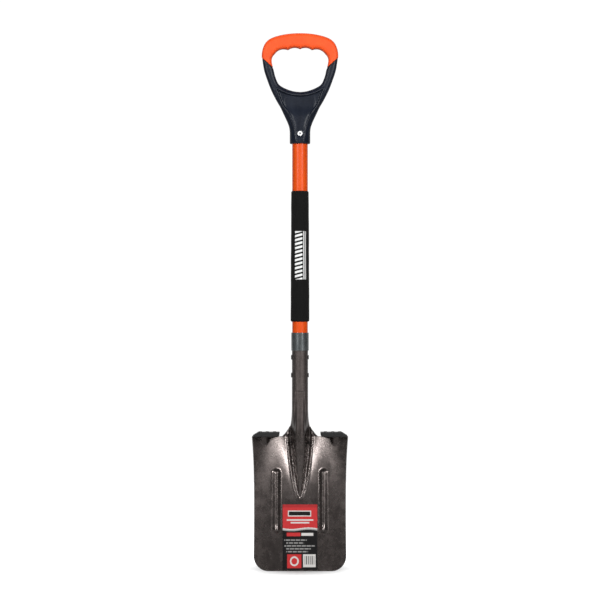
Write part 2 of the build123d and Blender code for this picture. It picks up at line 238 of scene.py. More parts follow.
# ---------------------------------------------------------------- materials
def map_range(nodes, links, source, low, high, to_low, to_high):
    """Value that goes from to_low to to_high while the source goes from low to high."""
    node = nodes.new("ShaderNodeMapRange")
    for key, value in zip(("From Min", "From Max", "To Min", "To Max"), (low, high, to_low, to_high)):
        node.inputs[key].default_value = value
    links.new(source, node.inputs["Value"])
    return node.outputs["Result"]


class Paint:
    """One node material on a Principled BSDF; its patterns are placed in metres from the shaft's axis."""

    def __init__(self, name, color, roughness, metallic=0.0, **inputs):
        self.material = bpy.data.materials.new(name)
        self.material.use_nodes = True
        self.nodes = self.material.node_tree.nodes
        self.links = self.material.node_tree.links
        self.bsdf = self.nodes["Principled BSDF"]
        self.bsdf.inputs["Base Color"].default_value = (*color, 1)
        self.bsdf.inputs["Roughness"].default_value = roughness
        self.bsdf.inputs["Metallic"].default_value = metallic
        for key, value in inputs.items():
            self.bsdf.inputs[key.replace("_", " ")].default_value = value
        from_axis = self.nodes.new("ShaderNodeVectorMath")
        from_axis.operation = "SUBTRACT"
        from_axis.inputs[1].default_value = (0, AXIS, 0)
        self.links.new(self.nodes.new("ShaderNodeTexCoord").outputs["Object"], from_axis.inputs[0])
        self.place = from_axis.outputs["Vector"]
        self.last_normal = None

    def connect(self, source, target):
        self.links.new(source, target)

    def stretched(self, x, y, z):
        """Place with each axis scaled; a low scale draws a pattern out along its axis."""
        node = self.nodes.new("ShaderNodeMapping")
        node.inputs["Scale"].default_value = (x, y, z)
        self.connect(self.place, node.inputs["Vector"])
        return node.outputs["Vector"]

    def noise(self, scale, detail=4.0, roughness=0.55, at=None, distortion=0.0):
        """Cloudy pattern; scale is its number of cells per metre."""
        node = self.nodes.new("ShaderNodeTexNoise")
        node.inputs["Scale"].default_value = scale
        node.inputs["Detail"].default_value = detail
        node.inputs["Roughness"].default_value = roughness
        node.inputs["Distortion"].default_value = distortion
        self.connect(at or self.place, node.inputs["Vector"])
        return node.outputs["Fac"]

    def cells(self, scale):
        """Distance to the middle of the nearest of the random cells, scale of them per metre."""
        node = self.nodes.new("ShaderNodeTexVoronoi")
        node.inputs["Scale"].default_value = scale
        self.connect(self.place, node.inputs["Vector"])
        return node.outputs["Distance"]

    def remap(self, source, low, high, to_low, to_high):
        return map_range(self.nodes, self.links, source, low, high, to_low, to_high)

    def math(self, operation, a, b):
        """Sum or product of a and b, which are numbers or sockets."""
        node = self.nodes.new("ShaderNodeMath")
        node.operation = operation
        for socket, value in zip(node.inputs, (a, b)):
            if isinstance(value, (int, float)):
                socket.default_value = value
            else:
                self.connect(value, socket)
        return node.outputs["Value"]

    def mix(self, factor, a, b):
        """Colour between a and b, which are colours or sockets."""
        node = self.nodes.new("ShaderNodeMix")
        node.data_type = "RGBA"
        for socket, value in zip((node.inputs[0], node.inputs[6], node.inputs[7]), (factor, a, b)):
            if isinstance(value, tuple):
                socket.default_value = (*value, 1)
            elif isinstance(value, (int, float)):
                socket.default_value = value
            else:
                self.connect(value, socket)
        return node.outputs[2]

    def bump(self, height, strength, distance):
        """Relief of a distance in millimetres, on top of any earlier relief."""
        node = self.nodes.new("ShaderNodeBump")
        node.inputs["Strength"].default_value = strength
        node.inputs["Distance"].default_value = distance * MM
        self.connect(height, node.inputs["Height"])
        if self.last_normal is not None:
            self.connect(self.last_normal, node.inputs["Normal"])
        self.last_normal = node.outputs["Normal"]
        self.connect(self.last_normal, self.bsdf.inputs["Normal"])

    def edge_wear_and_highlight(self, amount):
        """Factor that rises on sharp convex edges: a painted highlight on the blade and the collar, lighter
        sharp edges on the plastic.
        """
        node = self.nodes.new("ShaderNodeNewGeometry")
        return self.remap(node.outputs["Pointiness"], 0.52, 0.62, 0.0, amount)

    def color(self, source):
        self.connect(source, self.bsdf.inputs["Base Color"])

    def roughness(self, source):
        self.connect(source, self.bsdf.inputs["Roughness"])


def blade_steel():
    """Brown-grey lacquered sheet steel with rolling scale, faint streaks and painted highlights on sharp
    edges; duller high up.
    """
    paint = Paint("lacquered_steel", (0.2, 0.17, 0.16), 0.38, 0.9, Coat_Weight=0.5, Coat_Roughness=0.22)
    mottle = paint.noise(55, 6, 0.62)
    fine = paint.noise(560, 4, 0.6)
    streak = paint.noise(30, 5, 0.6, paint.stretched(8, 8, 0.9))
    base = paint.mix(paint.remap(mottle, 0.35, 0.68, 0, 1), (0.074, 0.060, 0.056), (0.118, 0.098, 0.092))
    base = paint.mix(paint.remap(streak, 0.45, 0.75, 0, 0.4), base, (0.15, 0.127, 0.12))
    base = paint.mix(paint.remap(fine, 0.5, 0.66, 0, 0.35), base, (0.24, 0.215, 0.205))
    # painted highlight: sharp convex edges, such as those of the V, lightened towards pale grey
    base = paint.mix(paint.edge_wear_and_highlight(0.55), base, (0.55, 0.54, 0.53))
    paint.color(base)
    height = paint.nodes.new("ShaderNodeSeparateXYZ")
    paint.connect(paint.place, height.inputs[0])
    dull = paint.remap(height.outputs["Z"], 0.28, 0.33, 0.0, 0.26)
    paint.roughness(paint.math("ADD", paint.remap(mottle, 0.3, 0.7, 0.23, 0.31), dull))
    paint.bump(mottle, 0.05, 0.4)
    paint.bump(fine, 0.1, 0.09)
    return paint.material


def zinc_steel():
    """Zinc-plated drawn tube with painted highlights on its rims."""
    paint = Paint("zinc_steel", (0.42, 0.44, 0.45), 0.45, 0.85)
    drawn = paint.noise(260, 4, 0.6, paint.stretched(9, 9, 0.35))
    cloud = paint.noise(70, 4, 0.5)
    tint = paint.mix(paint.remap(cloud, 0.35, 0.65, 0, 1), (0.15, 0.165, 0.17), (0.22, 0.24, 0.245))
    # painted highlight: sharp rims lightened towards bright grey
    paint.color(paint.mix(paint.edge_wear_and_highlight(0.8), tint, (0.7, 0.72, 0.72)))
    paint.roughness(paint.remap(drawn, 0.3, 0.7, 0.24, 0.34))
    paint.bump(drawn, 0.12, 0.15)
    return paint.material


def rivet_steel(name, color, roughness, metallic):
    """Turned steel with fine scuffs."""
    paint = Paint(name, color, roughness, metallic)
    scuff = paint.noise(900, 4, 0.6)
    paint.roughness(paint.remap(scuff, 0.3, 0.7, roughness - 0.08, roughness + 0.12))
    paint.bump(scuff, 0.12, 0.1)
    return paint.material


def orange_fibreglass():
    """Gloss orange pultruded tube: faint lengthwise glass rovings under a clear surface."""
    paint = Paint("orange_fibreglass", (0.7, 0.06, 0.008), 0.4, 0.0,
                  Specular_IOR_Level=0.25, Coat_Weight=0.05, Coat_Roughness=0.15)
    roving = paint.noise(140, 4, 0.6, paint.stretched(6, 6, 0.12))
    cloud = paint.noise(40, 3, 0.5)
    base = paint.mix(paint.remap(roving, 0.35, 0.7, 0, 1), (0.52, 0.050, 0.002), (0.65, 0.074, 0.004))
    paint.color(paint.mix(paint.remap(cloud, 0.4, 0.7, 0, 0.25), base, (0.70, 0.085, 0.004)))
    paint.roughness(paint.remap(roving, 0.3, 0.7, 0.32, 0.44))
    paint.bump(roving, 0.15, 0.12)
    return paint.material


def orange_rubber():
    """Soft-touch elastomer with a fine moulded grain."""
    paint = Paint("orange_rubber", (1.0, 0.13, 0.03), 0.55, 0.0, Specular_IOR_Level=0.25)
    grain = paint.cells(900)
    cloud = paint.noise(45, 4, 0.55)
    paint.color(paint.mix(paint.remap(cloud, 0.35, 0.7, 0, 1), (0.70, 0.068, 0.010), (0.78, 0.088, 0.016)))
    paint.roughness(paint.remap(cloud, 0.3, 0.7, 0.46, 0.62))
    paint.bump(grain, 0.25, 0.12)
    return paint.material


def black_plastic():
    """Glass-filled black moulding, semi-gloss, with faint flow marks and lighter sharp edges."""
    paint = Paint("black_plastic", (0.012, 0.015, 0.023), 0.36, 0.0, Specular_IOR_Level=0.28)
    grain = paint.noise(700, 4, 0.6)
    flow = paint.noise(28, 5, 0.6, paint.stretched(1, 1, 0.4), 0.6)
    base = paint.mix(paint.remap(flow, 0.35, 0.7, 0, 1), (0.004, 0.006, 0.012), (0.008, 0.0115, 0.021))
    # sharp convex edges lightened towards grey
    paint.color(paint.mix(paint.edge_wear_and_highlight(0.8), base, (0.17, 0.18, 0.20)))
    paint.roughness(paint.remap(flow, 0.3, 0.7, 0.34, 0.46))
    paint.bump(grain, 0.03, 0.05)
    return paint.material


def tread_rubber():
    """Matt black rubber with a rough grain and dusty patches."""
    paint = Paint("tread_rubber", (0.012, 0.012, 0.013), 0.6)
    grain = paint.noise(650, 5, 0.65)
    dust = paint.noise(60, 5, 0.6)
    dusty = paint.remap(dust, 0.45, 0.75, 0, 0.6)
    paint.color(paint.mix(dusty, (0.004, 0.004, 0.0042), (0.011, 0.0105, 0.010)))
    paint.roughness(paint.remap(dust, 0.3, 0.7, 0.5, 0.72))
    paint.bump(grain, 0.3, 0.2)
    return paint.material


def black_foam():
    """Closed-cell foam: open pores in the cut skin, and a pale printed pattern."""
    paint = Paint("black_foam", (0.01, 0.01, 0.01), 0.85, 0.0, Sheen_Weight=0.04, Specular_IOR_Level=0.15)
    pores = paint.cells(520)
    fine = paint.noise(1100, 3, 0.6)
    lumps = paint.noise(35, 4, 0.5)
    base = paint.mix(paint.remap(pores, 0.1, 0.6, 0, 1), (0.0018, 0.0018, 0.0018), (0.005, 0.005, 0.005))
    base = paint.mix(paint.remap(lumps, 0.35, 0.7, 0, 0.5), base, (0.007, 0.007, 0.007))
    printed = paint.nodes.new("ShaderNodeAttribute")
    printed.attribute_name = "print"
    broken = paint.remap(fine, 0.35, 0.55, 0.75, 1.0)
    paint.color(paint.mix(paint.math("MULTIPLY", printed.outputs["Fac"], broken), base, (0.72, 0.72, 0.72)))
    paint.roughness(paint.remap(lumps, 0.3, 0.7, 0.78, 0.95))
    paint.bump(pores, 0.55, 0.35)
    paint.bump(fine, 0.3, 0.2)
    return paint.material


def label_film():
    """Printed gloss film; its blocks of colour are painted on the mesh."""
    paint = Paint("label_film", (0.1, 0.02, 0.02), 0.3, 0.0,
                  Coat_Weight=0.15, Coat_Roughness=0.2, Specular_IOR_Level=0.3)
    printed = paint.nodes.new("ShaderNodeAttribute")
    printed.attribute_name = "print"
    speck = paint.noise(900, 3, 0.6)
    paint.color(paint.mix(paint.remap(speck, 0.55, 0.8, 0, 0.03), printed.outputs["Color"], (0.5, 0.5, 0.5)))
    paint.roughness(paint.remap(speck, 0.3, 0.7, 0.26, 0.36))
    paint.bump(paint.noise(60, 3, 0.5), 0.15, 0.3)
    return paint.material


def core_plastic():
    """Cream moulding of the two plugs."""
    paint = Paint("core_plastic", (0.6, 0.57, 0.48), 0.6)
    grain = paint.noise(300, 4, 0.6)
    paint.color(paint.mix(grain, (0.52, 0.49, 0.4), (0.66, 0.63, 0.54)))
    paint.bump(grain, 0.2, 0.2)
    return paint.material


# ---------------------------------------------------------------- blade
SHEET = 1.9
BLADE_TOP = TREAD_LOW[2]
BLADE_HALF_LOW, SHOULDER_HALF = 94.3, BLADE_HIGH[0]
WAIST_Z, WAIST_HALF = 145.0, 93.6
SHOULDER_CURVE = 2.6
CORNER_R = 30.0
LEAN = radians(8.0)
FACE_TOP_Y = 4.0
DISH_TOP, DISH_EDGE, DISH_HALF = 24.0, 3.0, 95.0
DISH_GROWTH, DISH_CURVE = 1.8, 2.8

FROG_TIP = 147.0
FROG_TOP_HALF, FROG_CURVE = 27.0, 0.45
RIDGE_HALF, RIDGE_FULL, RIDGE_CURVE = 9.7, 250.0, 0.75
VALLEY_DEPTH, VALLEY_GROWTH = 16.0, 0.8
VALLEY_LEAN, VALLEY_CURVE = 0.85, 1.15
V_FLARE, V_FLARE_REACH, V_FLARE_GROWTH = 8.0, 17.0, 0.6
V_BEAD, V_BEAD_WIDTH = 1.3, 2.1
V_BEAD_GROWTH, V_BEAD_LEAST = 0.3, 0.7

RIB_X, RIB_HALF, RIB_LOW, RIB_HIGH, RIB_HEIGHT = 47.5, 10.0, 73.0, 209.0, 5.0
RIB_OUTER_EASE = 1.25
RIB_FOOT_EXTRA, RIB_FOOT_REACH = 0.35, 7.0
DART_X, DART_HALF, DART_LOW, DART_REACH = 72.0, 10.0, 255.0, 11.0
DART_DROP = 1.1                         # how far its flanks fall off, against a circle's

SOCKET_R = 16.6
SOCKET_TOP = BLADE_HIGH[2]
UNCURL_TOP = 330.0
UNCURL_START, UNCURL_CURVE = 0.8, 1.15
SEAM_HALF = 0.7
WING_HALF = 36.0
RIDGE_SHARE = 0.2                       # share of the neck's sheet that comes from the frog's ridge
CREASE_TOP, CREASE_FADE = 366.8, 50.0
CREASE_ANGLE, CREASE_WIDTH, CREASE_DEPTH = 0.69, 0.13, 2.1
FLAT_ANGLE, FLAT_EASE, FLAT_DEPTH, FLAT_STEP = 0.64, 0.06, 0.8, 1.6

STEP_INNER, STEP_OUTER, STEP_FRONT, STEP_UNDER = 46.5, 92.5, -32.0, 274.4
STEP_BEND = 1.6

PANEL_ROWS, CORNER_ROWS = 240, 15
NECK_COLUMNS, GAP_COLUMNS, STEP_COLUMNS = 145, 12, 64
BEND_ROWS, STEP_ROWS = 6, 14


def dished_y(x, z):
    """Panel without its pressings: leaning forward, with sides that stand forward most at the top."""
    dish = DISH_EDGE + (DISH_TOP - DISH_EDGE) * (np.maximum(z, 0) / BLADE_TOP) ** DISH_GROWTH
    return FACE_TOP_Y - (BLADE_TOP - z) * tan(LEAN) - dish * (np.abs(x) / DISH_HALF) ** DISH_CURVE


def rib_height(x, z):
    """Stamped rib: steep towards the middle of the blade, easing off towards its side."""
    along = z - np.clip(z, RIB_LOW + RIB_HALF, RIB_HIGH - RIB_HALF)
    aside = np.abs(x) - RIB_X
    aside = np.where(aside > 0, aside / RIB_OUTER_EASE, aside)
    away = np.hypot(aside, along) / RIB_HALF
    foot = 1 + RIB_FOOT_EXTRA * np.exp(-((z - RIB_LOW - RIB_HALF) / RIB_FOOT_REACH) ** 2)
    return RIB_HEIGHT * foot * (0.5 + 0.5 * np.cos(pi * np.clip(away, 0, 1)))


def dart_height(x, z):
    """Round dart that leans out of the panel towards the step above it."""
    reach = DART_REACH * np.maximum((z - DART_LOW) / (BLADE_TOP - DART_LOW), 0)
    across = (np.abs(x) - DART_X) / DART_HALF
    drop = DART_HALF * (1 - np.sqrt(np.clip(1 - across ** 2, 0, 1)))
    return np.maximum(reach - drop * DART_DROP, 0) * (np.abs(across) < 1)


def front_y(x, z):
    """Digging face of the blade: inside the V the frog's ridge and valleys, outside it the panel."""
    ax = np.abs(x)
    rise = np.clip((z - FROG_TIP) / (BLADE_TOP - FROG_TIP), 1e-6, 1.0)
    ridge_rise = np.minimum(1.0, rise * (BLADE_TOP - FROG_TIP) / (RIDGE_FULL - FROG_TIP))
    v_half = FROG_TOP_HALF * rise ** FROG_CURVE
    ridge_half = RIDGE_HALF * ridge_rise ** RIDGE_CURVE
    to_edge = np.where(z > FROG_TIP, ax - v_half, np.hypot(ax, FROG_TIP - z))
    bead = V_BEAD * np.maximum(rise ** V_BEAD_GROWTH, V_BEAD_LEAST) * np.exp(-(to_edge / V_BEAD_WIDTH) ** 2)
    flare = V_FLARE * rise ** V_FLARE_GROWTH
    panel = dished_y(x, z) + flare * np.exp(-np.maximum(ax - v_half, 0) / V_FLARE_REACH)
    panel = panel - rib_height(x, z) - dart_height(x, z) - bead

    tip_y = dished_y(0, FROG_TIP)
    crest = tip_y - (SOCKET_R + tip_y) * rise
    crown = (SOCKET_R - np.sqrt(SOCKET_R ** 2 - RIDGE_HALF ** 2)) * ridge_half / RIDGE_HALF
    ridge = crest + crown * (ax / np.maximum(ridge_half, 1e-3)) ** 2
    across = np.clip((ax - ridge_half) / np.maximum(v_half - ridge_half, 1e-3), 0, 1)
    level = crest + crown + (dished_y(v_half, z) + flare - crest - crown) * across
    hollow = np.sin(pi * across ** VALLEY_LEAN) ** VALLEY_CURVE
    valley = level + VALLEY_DEPTH * rise ** VALLEY_GROWTH * hollow
    frog = np.where(ax <= ridge_half, ridge, valley - bead)
    return np.where((z > FROG_TIP) & (ax < v_half), frog, panel)


def half_width(z):
    """Half width of the panel: round bottom corners, a slight waist and wider shoulders."""
    low = np.clip(CORNER_R - z, 0, CORNER_R)
    base = BLADE_HALF_LOW - CORNER_R + np.sqrt(CORNER_R ** 2 - low ** 2)
    below = (BLADE_HALF_LOW - WAIST_HALF) * (1 - np.clip((WAIST_Z - z) / (WAIST_Z - CORNER_R), 0, 1) ** 2)
    climb = np.clip((z - WAIST_Z) / (BLADE_TOP - WAIST_Z), 0, 1)
    return base - below + (SHOULDER_HALF - WAIST_HALF) * climb ** SHOULDER_CURVE


def strip_x(u):
    """Place at the shoulder of the neck's sheet, where u goes from -1 to 1 round the neck."""
    share = np.abs(u)
    wing = RIDGE_HALF + (WING_HALF - RIDGE_HALF) * (share - RIDGE_SHARE) / (1 - RIDGE_SHARE)
    return np.where(share <= RIDGE_SHARE, RIDGE_HALF * share / RIDGE_SHARE, wing) * np.sign(u)


def neck_points(u, z):
    """Sheet round the neck: a tube above UNCURL_TOP, spread out to the shoulder below it."""
    angle = u * (pi - SEAM_HALF / SOCKET_R)
    below = CREASE_TOP - z
    crease = smooth(below / CREASE_FADE) * np.exp(-((np.abs(angle) - CREASE_ANGLE) / CREASE_WIDTH) ** 2)
    flat = smooth(below / FLAT_STEP) * smooth((FLAT_ANGLE - np.abs(angle)) / FLAT_EASE)
    radius = SOCKET_R - CREASE_DEPTH * crease - FLAT_DEPTH * flat
    x = strip_x(u)
    spread_y = front_y(x, np.full_like(x, BLADE_TOP))
    climb = np.clip((z - BLADE_TOP) / (UNCURL_TOP - BLADE_TOP), 0, 1)
    opening = (1 - climb ** UNCURL_START) ** UNCURL_CURVE
    px = radius * np.sin(angle) * (1 - opening) + x * opening
    py = -radius * np.cos(angle) * (1 - opening) + spread_y * opening
    return np.stack([px, py, z], -1)


def neck_heights():
    """Heights of the neck's rows, closest where the creases end."""
    levels = (BLADE_TOP, UNCURL_TOP, CREASE_TOP - 3, CREASE_TOP + 1, SOCKET_TOP)
    return np.concatenate([np.linspace(low, high, count)[1:]
                           for low, high, count in zip(levels, levels[1:], (44, 20, 9, 24))])


def blade_columns():
    """Places of the columns at the shoulder: the neck's strip, then the panel on both sides."""
    u = np.linspace(-1, 1, NECK_COLUMNS)
    gap = np.linspace(WING_HALF, STEP_INNER, GAP_COLUMNS)[1:]
    side = np.linspace(STEP_INNER, SHOULDER_HALF, STEP_COLUMNS)[1:]
    right = np.concatenate([gap, side])
    return u, np.concatenate([-right[::-1], strip_x(u), right]), len(right), len(side) + 1


def step_points(side, columns):
    """Rows of the step that turns forward over the given columns: a bend, then a plate."""
    panel_x = np.abs(columns)
    panel_y = front_y(columns, np.full_like(columns, BLADE_TOP))
    share = (panel_x - STEP_INNER) / (SHOULDER_HALF - STEP_INNER)
    plate_x = STEP_INNER + (STEP_OUTER - STEP_INNER) * share
    rows = []
    for t in np.arange(1, BEND_ROWS + 1) / BEND_ROWS:
        x = panel_x + (plate_x - panel_x) * t
        y = panel_y - STEP_BEND * (1 - cos(t * pi / 2))
        z = STEP_UNDER - STEP_BEND * (1 - sin(t * pi / 2))
        rows.append(np.stack([side * x, y, np.full_like(x, z)], -1))
    for t in np.linspace(0, 1, STEP_ROWS)[1:]:
        y = (panel_y - STEP_BEND) * (1 - t) + STEP_FRONT * t
        rows.append(np.stack([side * plate_x, y, np.full_like(y, STEP_UNDER)], -1))
    return np.array(rows)


def build_blade(material):
    """One sheet: panel, frog, neck, rolled socket and both steps, then thickened."""
    u, columns, side_count, step_count = blade_columns()
    corner = CORNER_R * (1 - np.cos(np.linspace(0, pi / 2, CORNER_ROWS)))[:-1]
    rows = np.concatenate([corner, np.linspace(CORNER_R, BLADE_TOP, PANEL_ROWS)])
    x = columns[None, :] / SHOULDER_HALF * half_width(rows)[:, None]
    z = np.repeat(rows[:, None], len(columns), 1)
    points = [np.stack([x, front_y(x, z), z], -1).reshape(-1, 3)]
    faces = [grid_faces(len(rows), len(columns))]
    top = (len(rows) - 1) * len(columns)

    def grow(edge, sheet):
        """Adds rows of points that carry on from an edge of the panel."""
        start = sum(len(part) for part in points)
        ids = start + np.arange(sheet.shape[0] * sheet.shape[1]).reshape(sheet.shape[:2])
        points.append(sheet.reshape(-1, 3))
        faces.append(quads_of(np.vstack([edge, ids])))

    neck_u, neck_z = np.meshgrid(u, neck_heights())
    grow(top + side_count + np.arange(len(u)), neck_points(neck_u, neck_z))
    for side, first in ((-1, 0), (1, len(columns) - step_count)):
        index = first + np.arange(step_count)
        grow(top + index, step_points(side, columns[index]))
    piece = make_object("blade_sheet", np.vstack(points), np.vstack(faces),
                        material, "hammertone_steel", "blade")
    relax(piece, 2)
    thicken(piece, SHEET)


# ---------------------------------------------------------------- label
LABEL_GAP, FILM = 0.18, 0.15
LABEL_COLUMNS, LABEL_ROWS = 150, 270
RED, DEEP_RED = (0.41, 0.020, 0.022), (0.30, 0.014, 0.016)
INK, PALE, GREY = (0.004, 0.0035, 0.004), (0.50, 0.485, 0.47), (0.24, 0.235, 0.23)
WAVE, WAVE_HEIGHT, WAVE_LENGTH = 0.60, 0.012, 11.0
WAVE_BANDS = ((0.0, GREY), (0.018, PALE), (0.035, RED))
HEAD = 0.955
# Middle and half height as shares of the label's height, middle and half width in mm, colour.
BLOCKS = ((0.86, 0.045, -1, 24, PALE), (0.86, 0.030, -1, 22, INK), (0.76, 0.012, 0, 27, PALE),
          (0.72, 0.010, 0, 19, PALE), (0.54, 0.028, -13, 14, RED), (0.54, 0.022, 15, 12, PALE),
          (0.13, 0.105, -11.5, 14.5, RED), (0.1375, 0.0975, 19, 13, PALE))
DASH_ROWS = ((-32, 14), (-28, 8), (-32, 30), (-28, 22), (-28, 16))
DASH_TOP, DASH_PITCH, DASH_HALF = 0.455, 0.045, 0.009
DASH_SCALE, DASH_SHIFT, DASH_PERIOD, DASH_SPACE = 0.9, 3.7, 9.0, 1.4
RING_X, RING_T, RING_RADII = -11.5, 0.13, ((9, PALE), (6, RED))
RING_SCALE = 120                        # millimetres over the label's full height
STRIPES = (0.145, 0.065, 19, 10)
STRIPE_PITCH, STRIPE_WIDTH = 4.0, 1.6


def label_print(x, z, low, high):
    """Colour of the label: plain blocks, bars and a wave, and nothing that can be read."""
    t = (z - low) / (high - low)
    color = np.ones(x.shape + (4,))
    color[..., :3] = INK

    def block(middle, half_height, centre, half_width):
        return (np.abs(t - middle) < half_height) & (np.abs(x - centre) < half_width)

    wave = WAVE + WAVE_HEIGHT * np.sin(x / WAVE_LENGTH)
    for above, tint in WAVE_BANDS:
        color[t > wave + above, :3] = tint
    color[t > HEAD, :3] = DEEP_RED
    for *place, tint in BLOCKS:
        color[block(*place), :3] = tint
    for i, (left, right) in enumerate(DASH_ROWS):
        dash = np.mod(x * DASH_SCALE + i * DASH_SHIFT, DASH_PERIOD) > DASH_SPACE
        dash &= (x > left) & (x < right)
        color[(np.abs(t - DASH_TOP + i * DASH_PITCH) < DASH_HALF) & dash, :3] = GREY
    for radius, tint in RING_RADII:
        color[np.hypot(x - RING_X, (t - RING_T) * RING_SCALE) < radius, :3] = tint
    color[block(*STRIPES) & (np.mod(x, STRIPE_PITCH) < STRIPE_WIDTH), :3] = INK
    return color


def build_label(material):
    """Thin sticker that follows the panel's face."""
    low, high, half = LABEL_LOW[2], LABEL_HIGH[2], LABEL_HIGH[0]
    x, z = np.meshgrid(np.linspace(-half, half, LABEL_COLUMNS), np.linspace(low, high, LABEL_ROWS))
    points = np.stack([x, front_y(x, z) - LABEL_GAP, z], -1).reshape(-1, 3)
    faces = grid_faces(LABEL_ROWS, LABEL_COLUMNS)
    piece = make_object("blade_sticker", points, faces, material, "label_film", "blade_label")
    layer = piece.data.attributes.new("print", "FLOAT_COLOR", "POINT")
    layer.data.foreach_set("color", label_print(x, z, low, high).reshape(-1))
    thicken(piece, FILM)


# ---------------------------------------------------------------- treads
TREAD_STEP = 0.6
TREAD_MARGIN = 1.5
TREAD_EDGE_R = 1.6
TREAD_SLOPE = 11.5                      # how far the outer end leans in
TREAD_DRAFT = 0.6
TREAD_FOOT_X, TREAD_FOOT_Z = 4.2, 3.4   # chamfer under the inner end
TREAD_RIM_Z = 2.8
TREAD_LIP = 3.2                         # thickness in front of the step's edge


def build_tread(side, material):
    """Moulded tread: rounded body with a lip over the step's front edge, and a sloped outer end."""
    low, high = TREAD_LOW, TREAD_HIGH
    inner, outer, under, top = low[0], high[0], low[2], high[2]
    xs, ys, zs = (np.arange(low[k] - TREAD_MARGIN, high[k] + TREAD_MARGIN, TREAD_STEP) for k in range(3))
    x, y, z = np.meshgrid(xs, ys, zs, indexing="ij")
    outline = np.array([
        (inner + TREAD_FOOT_X, under), (outer, under), (outer - TREAD_DRAFT, under + TREAD_RIM_Z),
        (outer - TREAD_SLOPE, top), (inner, top), (inner + TREAD_DRAFT, under + TREAD_FOOT_Z)])
    depth = (high[1] - low[1]) / 2
    body = rounded_extrusion(outline_distance(outline, x, z), y - low[1] - depth, depth, TREAD_EDGE_R)
    pocket = np.maximum.reduce([
        z - (STEP_UNDER + SHEET), (low[1] + TREAD_LIP) - y, np.abs(x) - STEP_OUTER - 0.1])
    points, faces = surface_nets(np.maximum(body, -pocket), (xs[0], ys[0], zs[0]), TREAD_STEP)
    points[:, 0] *= side
    word = "right" if side > 0 else "left"
    make_object(f"{word}_foot_tread", points, faces[:, ::side], material, "tread_rubber", f"{word}_tread")


# ---------------------------------------------------------------- foam grip
FOAM_END_R = 3.2
FOAM_TAPER, FOAM_LUMP = 1.25, 0.12
FOAM_BORE_GAP = 0.05
FOAM_ROWS, FOAM_SEGMENTS, FOAM_END_ROWS = 420, 220, 9
PRINT_LOW, PRINT_HIGH = 595.0, 694.0
BARS, BAR_SHARE, BAR_SLANT, BAR_START = 12, 0.55, 0.03, 0.2
BARS_LEFT, BARS_RIGHT = -11.5, 5.0
PRINT_LINES = ((8.6, 1.2), (12.4, 0.8))


def foam_print(angle, z):
    """Pale printed bars and a double line on the front of the foam; nothing that can be read."""
    around = (angle + pi / 2 + pi) % (2 * pi) - pi
    across = around * FOAM_HIGH[0]
    t = (z - PRINT_LOW) / (PRINT_HIGH - PRINT_LOW)
    stripe = np.mod(t * BARS - across * BAR_SLANT + BAR_START, 1.0)
    marks = (stripe < BAR_SHARE) & (across > BARS_LEFT) & (across < BARS_RIGHT)
    for middle, half in PRINT_LINES:
        marks |= np.abs(across - middle) < half
    return (marks & (t > 0) & (t < 1)).astype(float)


def build_foam(material):
    """Soft sleeve: swollen and lumpy a little between its ends, which are rolled over."""
    low, high = FOAM_LOW[2], FOAM_HIGH[2]
    inner = SHAFT_HIGH[0] + FOAM_BORE_GAP
    heights = np.linspace(low + FOAM_END_R, high - FOAM_END_R, FOAM_ROWS)
    share = (heights - low) / (high - low)
    swell = FOAM_LUMP * np.sin(share * 37.0) * np.sin(share * 9.0)
    radius = FOAM_HIGH[0] - FOAM_TAPER * share + swell
    ends = np.linspace(0, pi / 2, FOAM_END_ROWS)[1:]
    bottom = [(radius[0] - FOAM_END_R * (1 - cos(a)), low + FOAM_END_R * (1 - sin(a))) for a in ends]
    top = [(radius[-1] - FOAM_END_R * (1 - cos(a)), high - FOAM_END_R * (1 - sin(a))) for a in ends]
    profile = np.array([(inner, low)] + bottom[::-1] + list(zip(radius, heights)) + top + [(inner, high)])
    points, faces = revolve(profile, FOAM_SEGMENTS)
    angle = np.arctan2(points[:, 1], points[:, 0])
    ring = np.hypot(points[:, 0], points[:, 1])
    lump = FOAM_LUMP * np.sin(points[:, 2] / 21.0 + 1.3 * angle)
    points[:, :2] *= np.where(ring > inner + 0.2, (ring + lump) / ring, 1.0)[:, None]
    piece = make_object("foam_sleeve", points, faces, material, "black_foam", "foam_grip")
    layer = piece.data.attributes.new("print", "FLOAT", "POINT")
    layer.data.foreach_set("value", foam_print(angle, points[:, 2]) * (ring > inner + 0.5))


# ---------------------------------------------------------------- D grip
GRIP_OUTLINE = smooth_outline(mirrored([
    (0, 1100.4), (15, 1099.9), (30, 1098.2), (45, 1095.0), (57, 1090.9), (66, 1085.4), (72.5, 1077.5),
    (76.6, 1067), (78.3, 1055), (77.2, 1045), (73.6, 1024), (67, 1004), (59, 983.5), (48.7, 963),
    (36.9, 942.6), (27.6, 922), (22.0, 909), (17, 896), (9, 887), (0, 884)]))
OPENING_OUTLINE = smooth_outline(mirrored([
    (0, 1066.0), (12, 1065.9), (24, 1065.2), (35, 1064.0), (45, 1061.8), (52.5, 1058.2),
    (57.2, 1051.5), (58.3, 1044), (56.6, 1034), (53.5, 1024), (51.3, 1014), (47.7, 1004),
    (44.3, 997.2), (38, 991.6), (26, 985.8), (13, 981.8), (0, 980.5)]))
WEB_OUTLINE = smooth_outline(mirrored([
    (0, 971.8), (14, 973.2), (26, 976.2), (35, 979.6), (42, 983.2), (46.6, 985.2), (47.6, 983.4),
    (44.2, 977.5), (36.2, 955), (22.1, 934.6), (14.1, 916.4), (10.6, 904), (8.2, 886), (7.0, 877.5),
    (0, 876.4)]))
FINGERS = ((10.8, 1071.6), (33.6, 1068.6))     # middle and top of each scallop
FINGER_R = 22.0
GRIP_HALF_X, GRIP_HALF_Y, GRIP_MARGIN = 80.5, 22.5, 3.0
GRIP_BOTTOM, GRIP_TOP = FRAME_LOW[2], COVER_HIGH[2]

